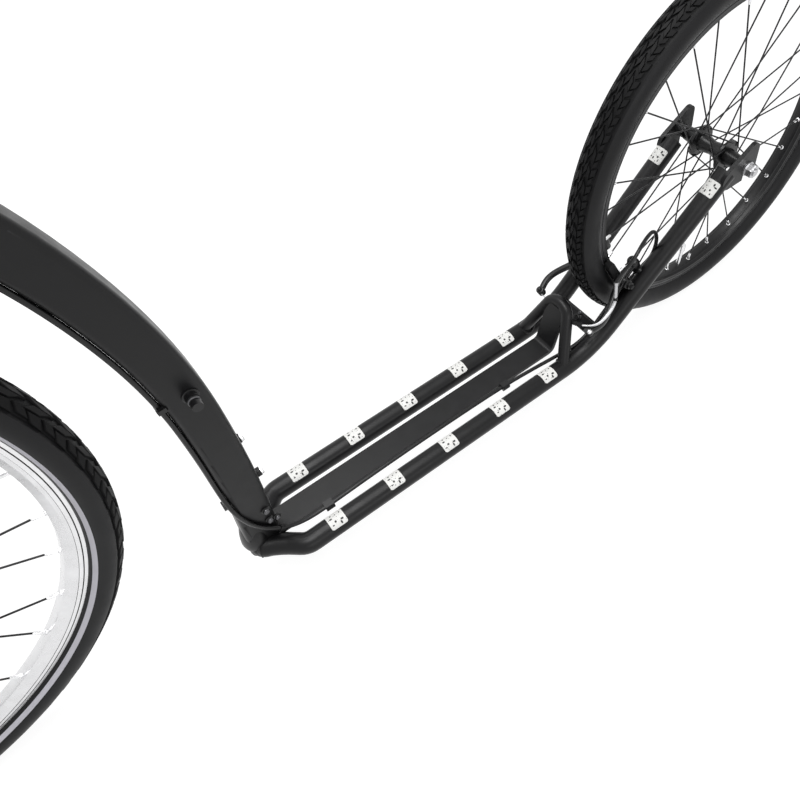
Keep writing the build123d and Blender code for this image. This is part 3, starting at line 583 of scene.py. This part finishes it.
def tube_patch(shape, centre, along, up, radius, length, low, high):
    """Pale grip patch bent round a tube, from angle low to high beside its top."""
    side = up.cross(along)
    rows, columns, corner = 16, 16, 1.8
    lift = 0.35

    def place(s, degrees, rise):
        angle = math.radians(degrees)
        return centre + along * s + (up * math.cos(angle) + side * math.sin(angle)) * (radius + rise)

    def half_length(t):
        """Half length of the patch at a share t of its way round, with rounded corners."""
        arc_mm = math.radians(high - low) * radius
        edge = min(t, 1 - t) * arc_mm
        if edge >= corner:
            return length / 2
        return length / 2 - corner + math.sqrt(max(0.0, corner**2 - (corner - edge) ** 2))

    rings = []
    for row in range(rows + 1):
        t = row / rows
        reach = half_length(t)
        degrees = low + (high - low) * t
        top = [place(-reach + 2 * reach * c / columns, degrees, lift) for c in range(columns + 1)]
        under = [place(reach, degrees, 0.0), place(-reach, degrees, 0.0)]
        rings.append(top + under)
    shape.add(loft(rings))
    for s, t, half_s, half_t in MARKS:
        half_s, half_t = half_s * MARK_GROWTH, half_t * MARK_GROWTH
        degrees = low + (high - low) * t
        spread = math.degrees(half_t / radius)
        ring_low, ring_high = [], []
        for k in range(8):
            a = 2 * math.pi * (k + 0.5) / 8
            for ring, rise in ((ring_low, lift - 0.1), (ring_high, lift + 0.08)):
                ring.append(place(s + half_s * math.cos(a), degrees + spread * math.sin(a), rise))
        shape.add(loft([ring_low, ring_high]), 1)


def patch_pieces():
    """Five patches on each side tube and one on each stay."""
    shape = Shape()
    forward, top = Vector((1, 0, 0)), Vector((0, 0, 1))
    for y, middle in ((SIDE_TUBE_Y, -1.0), (-SIDE_TUBE_Y, 3.0)):
        for step in range(5):
            centre = Vector((middle + PATCH_PITCH * (step - 2), y, TUBE_Z))
            tube_patch(shape, centre, forward, top, SIDE_TUBE_R, PATCH_LENGTH, -50, 50)
    for y in (STAY_Y, -STAY_Y):
        run = STAY_PATCH_RUN
        centre = Vector((STAY_FOOT_X - run, y, TUBE_Z + run * math.tan(STAY_SLOPE)))
        tube_patch(shape, centre, -STAY_BACK, STAY_OVER, SIDE_TUBE_R, PATCH_LENGTH, -50, 48)
    return shape.piece("grip_patches", "frame", "frame_paint", [PATCH, MARK], sharp=50)


# ---------------------------------------------------------------- welds
def ripple(count, radius):
    """Bead radii with the small steps of a laid weld."""
    return [radius * (1 + 0.16 * math.sin(i * 2.1) * math.sin(i * 0.37 + 1)) for i in range(count)]


def foot_weld(shape, foot, way, radius, tube_point, tube_way, tube_radius):
    """Bead where a round bar stands on a round tube."""
    way, tube_way = Vector(way).normalized(), Vector(tube_way).normalized()
    across = way.orthogonal().normalized()
    up = way.cross(across)
    path = []
    count = 48
    for k in range(count):
        a = 2 * math.pi * k / count
        start = Vector(foot) + (across * math.cos(a) + up * math.sin(a)) * (radius + 0.4)
        offset = start - Vector(tube_point)
        offset -= tube_way * offset.dot(tube_way)
        run = way - tube_way * way.dot(tube_way)
        b = 2 * offset.dot(run)
        c = offset.length_squared - tube_radius**2
        root = max(0.0, b * b - 4 * run.length_squared * c)
        t = (-b + math.sqrt(root)) / (2 * run.length_squared)
        path.append(start + way * t)
    shape.add(swept(path, ripple(count, 1.9), sides=8, closed=True))


def line_weld(shape, points, radius):
    """Bead along a line of points."""
    spots = [Vector(p) for p in points]
    path = []
    for a, b in zip(spots, spots[1:]):
        steps = max(2, int((b - a).length / 1.6))
        path += [a + (b - a) * i / steps for i in range(steps)]
    path.append(spots[-1])
    shape.add(swept(path, ripple(len(path), radius), sides=8))


def weld_piece():
    """Beads at the arch's feet, beside the brake bridge, and where the centre bar meets the down tube."""
    shape = Shape()
    for side in (1, -1):
        foot = Vector((-187.2, 41.0 * side, TUBE_Z))
        crown = Vector((-216.9, 13.4 * side, 58.3))
        foot_weld(shape, foot, crown - foot, ARCH_R, (0, SIDE_TUBE_Y * side, TUBE_Z), (1, 0, 0), SIDE_TUBE_R)
        end = BRIDGE_MIDDLE + LEFT * ((STAY_Y - SIDE_TUBE_R - 0.2) * side)
        for rise in (BRIDGE_HALF_THICK, -BRIDGE_HALF_THICK):
            edge = end + STAY_OVER * rise
            line_weld(shape, [edge - STAY_BACK * 9.5, edge + STAY_BACK * 9.5], 1.4)
        line_weld(shape, [(215.0, 14.6 * side, BAR_TOP_Z - 1), (204.0, 15.8 * side, BAR_TOP_Z - 1.4)], 1.2)
    line_weld(shape, [(213.2, -13, BAR_TOP_Z + 0.3), (213.0, 0, BAR_TOP_Z + 0.3), (213.2, 13, BAR_TOP_Z + 0.3)], 1.3)
    return shape.piece("frame_welds", "frame", "frame_paint", [WELD])


NOSE_X, NOSE_Z = 238.4, -4.5
NOSE_LENGTH, NOSE_HALF_WIDTH = 16.2, 17.4
NOSE_DROP, NOSE_RISE = 22.4, 46.0
NOSE_LEAN = 0.13            # how far its upper part leans back, for each millimetre of height
DOME_R = 12.8
# the end of a side tube, from the elbow to its dome: x, y, z and radius
TUBE_END = ((204.0, 35.2, -12.7, 12.3), (212.0, 28.3, -12.6, 12.6), (220.0, 21.9, -12.4, 12.75),
            (228.0, 16.7, -12.1, DOME_R), (234.5, 13.6, -11.8, DOME_R))


def nose_rings():
    """Rings of the rounded nose, from its lowest to its highest."""
    rings = []
    for k in range(25):
        a = math.radians(-88 + 176 * k / 24)
        tall = NOSE_DROP if a < 0 else NOSE_RISE
        middle = NOSE_X - NOSE_LEAN * max(0.0, tall * math.sin(a))
        rings.append([Vector((middle + NOSE_LENGTH * math.cos(a) * math.cos(b),
                              NOSE_HALF_WIDTH * math.cos(a) * math.sin(b), NOSE_Z + tall * math.sin(a)))
                      for b in (2 * math.pi * j / 48 for j in range(48))])
    return rings


def tube_end(shape, side):
    """The end of one side tube, closed with a dome, and the weld bead round it."""
    path = [Vector((x, y * side, z)) for x, y, z, _ in TUBE_END]
    way = (path[-1] - path[-2]).normalized()
    front = path[-1]
    turns = [math.radians(88 * i / 9) for i in range(1, 10)]
    path += [front + way * DOME_R * math.sin(a) for a in turns]
    shape.add(swept(path, [r for *_, r in TUBE_END] + [DOME_R * math.cos(a) for a in turns], sides=40))
    out, up = Vector((-way.y, way.x, 0)) * side, Vector((0, 0, 1))
    bead = []
    for j in range(25):
        a = math.radians(-20 + 220 * j / 24)
        bead.append(front + way * 5.0 + (out * math.cos(a) + up * math.sin(a)) * 11.7)
    shape.add(swept(bead, ripple(25, 1.1), sides=8), 1)


def foot_cap():
    """Rounded nose round the foot of the down tube, with the tubes' domed ends running into it."""
    shape = Shape()
    shape.add(loft(nose_rings()))
    bend = [math.radians(90 - 180 * k / 24) for k in range(25)]
    _, end_y, _, _ = TUBE_END[-1]
    shape.add(swept([Vector((234.5 + 5.5 * math.cos(a), end_y * math.sin(a), -13.2)) for a in bend], 11.8, sides=40))
    for side in (1, -1):
        tube_end(shape, side)
    return shape.piece("foot_cap", "frame", "frame_paint", [PAINT, WELD], sharp=40)


# ---------------------------------------------------------------- cables
PIVOT_INSET = 25.0          # a brake arm's pivot lies this far inside the bead seat
ARM_RUN = 103.0             # from the pivot to the cable bolt, along the wheel's radius
REAR_BRAKE = {"end": "rear", "axle": REAR["axle"], "bead": 203.0, "angle": -27.9, "facing": 1, "pivot_y": 28.0,
              "body": "frame"}
FRONT_BRAKE = {"end": "front", "axle": FRONT["axle"], "bead": 311.0, "angle": 110.51, "facing": -1, "pivot_y": ARM_Y,
               "body": "steering"}
FRAME_CABLE = (
    (443.9, 36.0, 732.4), (452.3, 36.0, 707.8), (454.5, 31.5, 680.0), (447.5, 23.0, 657.5), (416.7, 14.2, 636.4),
    (387.0, 9.0, 612.3), (352.0, 9.0, 574.2), (318.4, 9.0, 527.7), (290.7, 9.0, 477.3), (269.5, 9.0, 424.0),
    (254.1, 9.0, 368.0), (243.7, 9.0, 310.9), (238.7, 9.0, 253.0), (238.8, 9.0, 196.2), (240.0, 9.0, 154.7),
    (241.5, 9.0, 123.1), (241.9, 15.0, 95.0), (239.4, 17.1, 70.0), (233.4, 17.2, 45.0), (222.5, 17.5, 23.0),
    (206.0, 18.6, 4.5), (183.0, 21.2, -1.6), (154.0, 21.0, -2.5), (104.0, 19.4, -2.7), (54.0, 18.6, -2.8),
    (4.0, 18.3, -2.8), (-50.0, 18.5, -2.8), (-107.0, 19.6, -2.8), (-150.0, 22.6, -3.0), (-188.0, 26.2, -3.6),
    (-218.0, 30.8, 0.2), (-243.2, 30.6, 8.5), (-273.5, 27.6, 30.5), (-306.0, 27.5, 53.8), (-332.0, 28.6, 70.4),
    (-342.4, 31.4, 80.4), (-346.0, 33.0, 92.9), (-346.9, 33.6, 108.3), (-343.2, 34.0, 123.4),
    (-333.8, 35.4, 134.0), (-319.7, 40.0, 137.2), (-305.2, 44.8, 135.2), (-293.2, 48.7, 129.6),
    (-282.8, 50.0, 121.2), (-272.2, 46.8, 110.6), (-266.2, 44.8, 96.7))
LOOP_CABLE = (
    (499.7, 137.8, 943.5), (507.9, 108.1, 942.8), (508.4, 84.0, 925.9), (505.5, 60.0, 897.5), (480.8, 49.0, 871.0),
    (451.2, 43.0, 852.3), (429.7, 38.5, 825.9), (427.5, 36.8, 792.3), (434.1, 36.0, 760.8), (443.9, 36.0, 732.4))


def cord_curve(name, points, radius, material, taper=None):
    """Round cord on one smooth spline, with the route's points as its control points."""
    data = bpy.data.curves.new(name, "CURVE")
    data.dimensions = "3D"
    data.bevel_depth = radius * MM
    data.bevel_resolution = 3
    data.resolution_u = 6
    data.use_fill_caps = True
    spline = data.splines.new("NURBS")
    spline.points.add(len(points) - 1)
    for spot, point in zip(spline.points, points):
        spot.co = (*(Vector(point) * MM), 1)
    for spot, share in zip(spline.points, taper or ()):
        spot.radius = share
    spline.order_u = 3
    spline.use_endpoint_u = True
    data.materials.append(material)
    piece = bpy.data.objects.new(name, data)
    bpy.context.scene.collection.objects.link(piece)
    return piece


NOODLE = (
    (-266.2, 44.8, 96.7), (-265.4, 46.0, 87.5), (-264.6, 48.0, 77.4), (-263.4, 50.2, 68.6), (-256.0, 52.6, 61.9),
    (-245.3, 54.0, 56.2), (-235.3, 53.3, 50.8), (-226.8, 48.0, 47.1), (-220.2, 38.7, 45.4))


def as_mesh(curve, name):
    """Mesh piece with the shape of a curve piece, which is taken away."""
    mesh = bpy.data.meshes.new_from_object(curve)
    mesh.name = name
    piece = bpy.data.objects.new(name, mesh)
    bpy.context.scene.collection.objects.link(piece)
    bpy.data.objects.remove(curve)
    return piece


def route_line(points):
    """Points along a route's smooth spline, read from a curve with no bevel."""
    bare = cord_curve("route_line", points, 0, SLEEVE)
    mesh = bpy.data.meshes.new_from_object(bare)
    line = [tuple(vertex.co) for vertex in mesh.vertices]
    bpy.data.objects.remove(bare)
    bpy.data.meshes.remove(mesh)
    return line


def add_cables():
    """The rear brake's cable from the lever to the arm, its bent pipe, its wire, and the arm's spring."""
    held = cord_curve("rear_cable_held", FRAME_CABLE, CABLE_R, SLEEVE)
    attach(held, "frame")
    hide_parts("rear_brake_cable")
    loop = as_mesh(cord_curve("loop_curve", LOOP_CABLE, CABLE_R, SLEEVE), "rear_cable_loop")
    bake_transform(loop)
    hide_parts("rear_brake_cable_loop")
    route_line(LOOP_CABLE)
    pipe = cord_curve("brake_noodle", NOODLE, 2.3, BRUSHED, (0.8, 0.8, 0.85, 1.0, 1.0, 0.96, 0.8, 0.64, 0.55))
    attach(pipe, "frame")
    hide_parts("rear_brake_noodle")
    wire = cord_curve("rear_inner_wire", ((-220.2, 38.7, 45.4), (-216.4, 31.0, 43.8), (-216.5, 20.0, 41.6),
                                          (-218.0, -10.0, 38.6), (-222.0, -46.0, 36.6)), 0.8, ZINC)
    lean = polar(ORIGIN, 5, REAR_BRAKE["angle"] + 90)
    root = REAR_BRAKE["bead"] - PIVOT_INSET
    spring_line = [polar(REAR["axle"], root + run, REAR_BRAKE["angle"], y) + lean
                   for run, y in ((4, 34.5), (14, 35.5), (32, 39.0), (52, 47.0), (68, 55.0))]
    spring = cord_curve("left_arm_spring", spring_line, 0.7, ANODISED)
    for thin in (wire, spring):
        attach(thin, "frame")


# ---------------------------------------------------------------- brakes and small parts
def brake_details(brake):
    """Pivot bolts, pad nuts, cable bolts and washers of both arms."""
    axle, bead, angle = brake["axle"], brake["bead"], brake["angle"]
    front = polar(ORIGIN, 1, angle + 90) * brake["facing"]
    root = bead - PIVOT_INSET
    shape = Shape()
    for side in (1, -1):
        way = LEFT * side
        pivot = polar(axle, root, angle, brake["pivot_y"] * side) + front * 9
        shape.add(turned(pivot, front, [(-0.5, 6.6), (0.8, 6.6), (1.2, 6.0)]), 1)
        shape.add(socket_screw(pivot + front, front, 4.6, 3.6), 1)
        post = polar(axle, bead, angle, (ARM_Y + 3.6) * side)
        shape.add(turned(post, way, [(-2, 6.4), (0.6, 7.0), (1.8, 6.2), (2.4, 4.6)]), 1)
        shape.add(hex_nut(post + way * 2.4, way, 4.6, 3.4), 1)
        spring = polar(axle, root + 8, angle, (brake["pivot_y"] + 3.4) * side)
        shape.add(socket_screw(spring, way, 2.0, 2.2), 1)
        tip = polar(axle, root + ARM_RUN, angle, (ARM_Y + (12.6 if side > 0 else 8.5)) * side)
        shape.add(turned(tip + front * 4.6, front, [(-0.5, 5.0), (1.6, 5.0), (2.0, 4.2)]), 1)
        ball = [(0, 3.3), (1.6, 3.5), (3.0, 3.1), (4.2, 2.2), (4.8, 0.8)]
        shape.add(turned(tip + front * 5.8, front, ball, 20), 0 if side > 0 else 1)
    return shape.piece(f"{brake['end']}_brake_bolts", brake["body"], "steel", [SILVER, ANODISED])


# a rear arm: run from the pivot, distance from the middle plane, half width, half thickness
ARM_KNOTS = ((-7, 28.0, 4.6, 3.6), (0, 28.0, 6.4, 4.6), (14, 28.6, 6.0, 4.2), (30, 32.0, 5.6, 4.0),
             (44, 36.0, 5.0, 3.7), (60, 44.5, 4.6, 3.5), (74, 51.0, 4.4, 3.4), (86, 52.6, 4.4, 3.4),
             (96, 50.0, 4.4, 3.4), (104, 46.6, 4.2, 3.2))


def smooth_knots():
    """The arm's knots, five steps apart and smoothed eight times."""
    fine = []
    for a, b in zip(ARM_KNOTS, ARM_KNOTS[1:]):
        fine += [[a[i] + (b[i] - a[i]) * k / 5 for i in range(4)] for k in range(5)]
    fine.append(list(ARM_KNOTS[-1]))
    for _ in range(8):
        fine = [fine[0]] + [[(fine[k - 1][i] + 2 * fine[k][i] + fine[k + 1][i]) / 4 for i in range(4)]
                            for k in range(1, len(fine) - 1)] + [fine[-1]]
    return fine


def rear_arms():
    """Both rear brake arms: a forged bar bowed out over the tyre from its pivot on the stay."""
    axle, angle = REAR_BRAKE["axle"], REAR_BRAKE["angle"]
    front = polar(ORIGIN, 1, angle + 90)
    root = REAR_BRAKE["bead"] - PIVOT_INSET
    fine = smooth_knots()
    shape = Shape()
    for side in (1, -1):
        rings = []
        for k, (run, y, half_w, half_t) in enumerate(fine):
            before, after = fine[max(0, k - 1)], fine[min(len(fine) - 1, k + 1)]
            step = Vector((after[0] - before[0], after[1] - before[1])).normalized()
            ring = []
            for j in range(20):
                a = 2 * math.pi * j / 20
                w = math.copysign(abs(math.cos(a)) ** 0.5, math.cos(a)) * half_w
                t = math.copysign(abs(math.sin(a)) ** 0.5, math.sin(a)) * half_t
                spot = polar(axle, root + run - step.y * t, angle, (y + step.x * t) * side)
                ring.append(spot + front * w)
            rings.append(ring)
        shape.add(loft(rings))
        foot = polar(axle, root, angle, REAR_BRAKE["pivot_y"] * side)
        shape.add(turned(foot - front * 16, front, [(0, 6.0), (9, 6.0), (9.5, 7.0), (24, 7.0), (25, 6.2)], 28))
        lug = [foot - front * 12, foot - front * 13 + LEFT * 7 * side, foot - front * 16 + LEFT * 13 * side]
        shape.add(swept(lug, [5.2, 5.6, 6.0], 16))
        tip = polar(axle, root + ARM_RUN, angle, 46.5 * side)
        shape.add(turned(tip - front * 5, front, [(0, 4.6), (0.6, 5.2), (10.4, 5.2), (11.0, 4.8)], 24))
        post = polar(axle, REAR_BRAKE["bead"], angle, 35.4 * side)
        shape.add(turned(post, LEFT * side, [(-1, 6.6), (1.5, 6.6), (3.4, 5.4), (3.8, 6.2), (6.2, 6.2)], 24))
    return shape.piece("rear_brake_arms", "frame", "frame_paint", [ANODISED],
                       replaces=("rear_brake_arm_left", "rear_brake_arm_right"), sharp=45)


def noodle_details():
    """Ferrules on the cable, the collar of the bent pipe and the rubber boot over the wire."""
    shape = Shape()
    shape.add(turned((-266.6, 45.0, 97.4), (0.08, 0.16, -1),
                     [(0, 2.3), (0.3, 2.9), (3.4, 2.9), (3.8, 2.35), (22.0, 2.35), (22.4, 2.0)], 18), 0)
    shape.add(turned((-264.5, 49.0, 74.4), (0.14, 0.24, -1), [(0, 2.0), (0.4, 2.7), (3.6, 2.9), (4.0, 2.4)], 18), 1)
    boot = [(k * 1.2, (3.4 if k % 2 else 2.6) - k * 0.03) for k in range(25)]
    shape.add(turned((-219.6, 37.8, 45.3), (0.28, -0.94, -0.2), boot, 14), 2)
    return shape.piece("noodle_details", "frame", "bright_alloy", [ZINC, ANODISED, PAD])


def frame_details():
    """Screws of the bottle bosses, the brake bridge and the foot, the side stud's rings and the cable's band."""
    shape = Shape()
    for z in (99.0, 163.0):
        shape.add(socket_screw((197.5, 0, z), (-1, 0, 0), 4.2, 2.8))
    over, middle = STAY_OVER, BRIDGE_MIDDLE
    shape.add(turned(middle + over * BRIDGE_HALF_THICK, over, [(0, 6.4), (1.0, 6.4), (1.3, 5.6)]), 1)
    shape.add(socket_screw(middle + over * 4.4, over, 4.0, 2.4), 1)
    shape.add(hex_nut(middle - over * BRIDGE_HALF_THICK, -over, 4.8, 3.6), 1)
    rear_edge = middle + STAY_BACK * 7.2
    shape.add(turned(rear_edge + over * 3.3, over, [(0, 3.6), (1.0, 3.6), (1.4, 3.0)]), 1)
    shape.add(socket_screw(rear_edge + over * 4.2, over, 2.3, 2.2), 2)
    shape.add(turned((214, 14.0, 264), LEFT, [(0, 7.6), (1.2, 7.6), (1.6, 6.6)]), 1)
    shape.add(turned((214, 20.0, 264), LEFT, [(0, 5.2), (0.8, 5.7), (2.4, 5.7), (3.2, 5.0)]), 2)
    for x, z, size in ((214.5, 52.0, 3.8), (216.0, 33.0, 3.6), (208.0, 30.0, 3.0)):
        shape.add(turned((x, 13.8, z), LEFT, [(0, size + 1.4), (1.4, size + 1.4), (1.8, size + 0.6)]), 1)
        shape.add(turned((x, 15.4, z), LEFT, [(0, size), (1.6, size), (3.0, size * 0.8), (3.8, size * 0.4)]), 2)
    shape.add(turned((210.5, 18.2, 9.0), (-0.66, 0.04, -0.75), [(-3.4, 2.9), (-3, 3.9), (3, 3.9), (3.4, 2.9)], 16), 1)
    return shape.piece("frame_screws", "frame", "steel", [SILVER, ANODISED, DARK_STEEL])


def steering_details():
    """Stem screws on the bar and on the steerer clamp, and the cap on the steerer with its screw."""
    shape = Shape()
    reach = (BAR_CENTRE - (STEM_BASE + STEER_UP * 21)).normalized()
    up = reach.cross(LEFT)
    for y in (-15, 15):
        for rise in (-15.5, 15.5):
            at = BAR_CENTRE + LEFT * y + up * rise + reach * 11
            shape.add(turned(at, reach, [(-8, 4.6), (1.2, 4.6), (2.0, 4.0)]), 1)
            shape.add(socket_screw(at + reach * 1.6, reach, 3.4, 3.0))
    for rise in (10, 32):
        at = STEM_BASE + STEER_UP * rise - STEER_FWD * 17.4 + LEFT * 12
        shape.add(turned(at - LEFT * 24, LEFT, [(0, 4.4), (24, 4.4)]), 1)
        shape.add(socket_screw(at, LEFT, 3.4, 3.0))
    cap = STEM_BASE + STEER_UP * 45
    shape.add(turned(cap - STEER_UP * 0.5, STEER_UP, [(0, 16.4), (1.4, 15.6), (1.8, 9.0), (1.2, 6.4)], 28), 1)
    shape.add(socket_screw(cap, STEER_UP, 4.4, 3.0))
    return shape.piece("steering_screws", "steering", "steel", [SILVER, ANODISED])


HAND_START = Vector((466.99, 130, 946.5))
HAND_END = Vector((442.99, 300, 948.5))


def grip_pieces():
    """Ribbed grips with a flange and a rounded end, over the CAD's plain ones."""
    for side, word in ((1, "left"), (-1, "right")):
        start = Vector((HAND_START.x, HAND_START.y * side, HAND_START.z))
        end = Vector((HAND_END.x, HAND_END.y * side, HAND_END.z))
        along = (end - start).normalized()
        tail = end - along * 125
        profile = [(0, 11.2), (0, 17.6), (0.8, 19.0), (3.2, 19.0), (4.2, 17.4), (4.8, 15.0)]
        height = 6.0
        while height < 116:
            profile += [(height, 15.0), (height + 0.8, 15.9), (height + 2.4, 15.9), (height + 3.2, 15.0)]
            height += 4.2
        profile += [(118, 14.9), (119, 16.0), (125, 16.0), (127.2, 15.0), (128, 12.5), (127.2, 6.0), (126.6, 0.5)]
        shape = Shape()
        shape.add(turned(tail, along, profile, 36))
        shape.piece(f"grip_ribbed_{word}", "steering", "grip_rubber", [GRIP], sharp=50, replaces=(f"grip_{word}",))


def lever_details():
    """Clamp screw, pivot pin and barrel adjuster of each brake lever."""
    shape = Shape()
    reach = Vector((0.99584, 0, -0.09112))
    for side in (1, -1):
        along = Vector((-0.13978, 0.99011 * side, 0.01165))
        at = Vector((463.53, 154.45 * side, 946.78))
        across = LEFT.cross(reach).normalized()
        pivot = at + reach * 34 + along * 4
        for face in (1, -1):
            shape.add(socket_screw(pivot + across * 9 * face, across * face, 3.4, 1.8))
        shape.add(socket_screw(at - across * 15.2 - reach * 2, -across, 3.2, 2.6))
        mouth = pivot - along * 20
        ridges = [(0, 4.6)]
        for k in range(6):
            ridges += [(1 + k * 1.6, 5.0), (1.8 + k * 1.6, 4.6)]
        ridges += [(11, 3.2), (14, 3.1)]
        shape.add(turned(mouth + along * 8, -along, ridges, 18), 1)
    return shape.piece("lever_details", "steering", "steel", [SILVER, ANODISED])


# ---------------------------------------------------------------- build the scene
bpy.context.scene.view_settings.view_transform = "Standard"
add_camera()
dress_nodes()
add_cables()
# the rear rim's edge carries a painted highlight; the front rim's edge is its machined track metal
for end_word, wheel_sizes, body_finish, track_finish, edge_metal_and_highlight in (
        ("rear", REAR, RIM_BLACK, TRACK_BLACK, HOOK_HIGHLIGHT), ("front", FRONT, RIM_SILVER, TRACK, TRACK)):
    tyre_piece(end_word, wheel_sizes)
    rim_piece(end_word, wheel_sizes, body_finish, track_finish, edge_metal_and_highlight)
    nipple_piece(end_word, wheel_sizes)
patch_pieces()
weld_piece()
foot_cap()
brake_details(REAR_BRAKE)
rear_arms()
brake_details(FRONT_BRAKE)
noodle_details()
frame_details()
steering_details()
grip_pieces()
lever_details()
add_lights()
add_world()
add_floor()
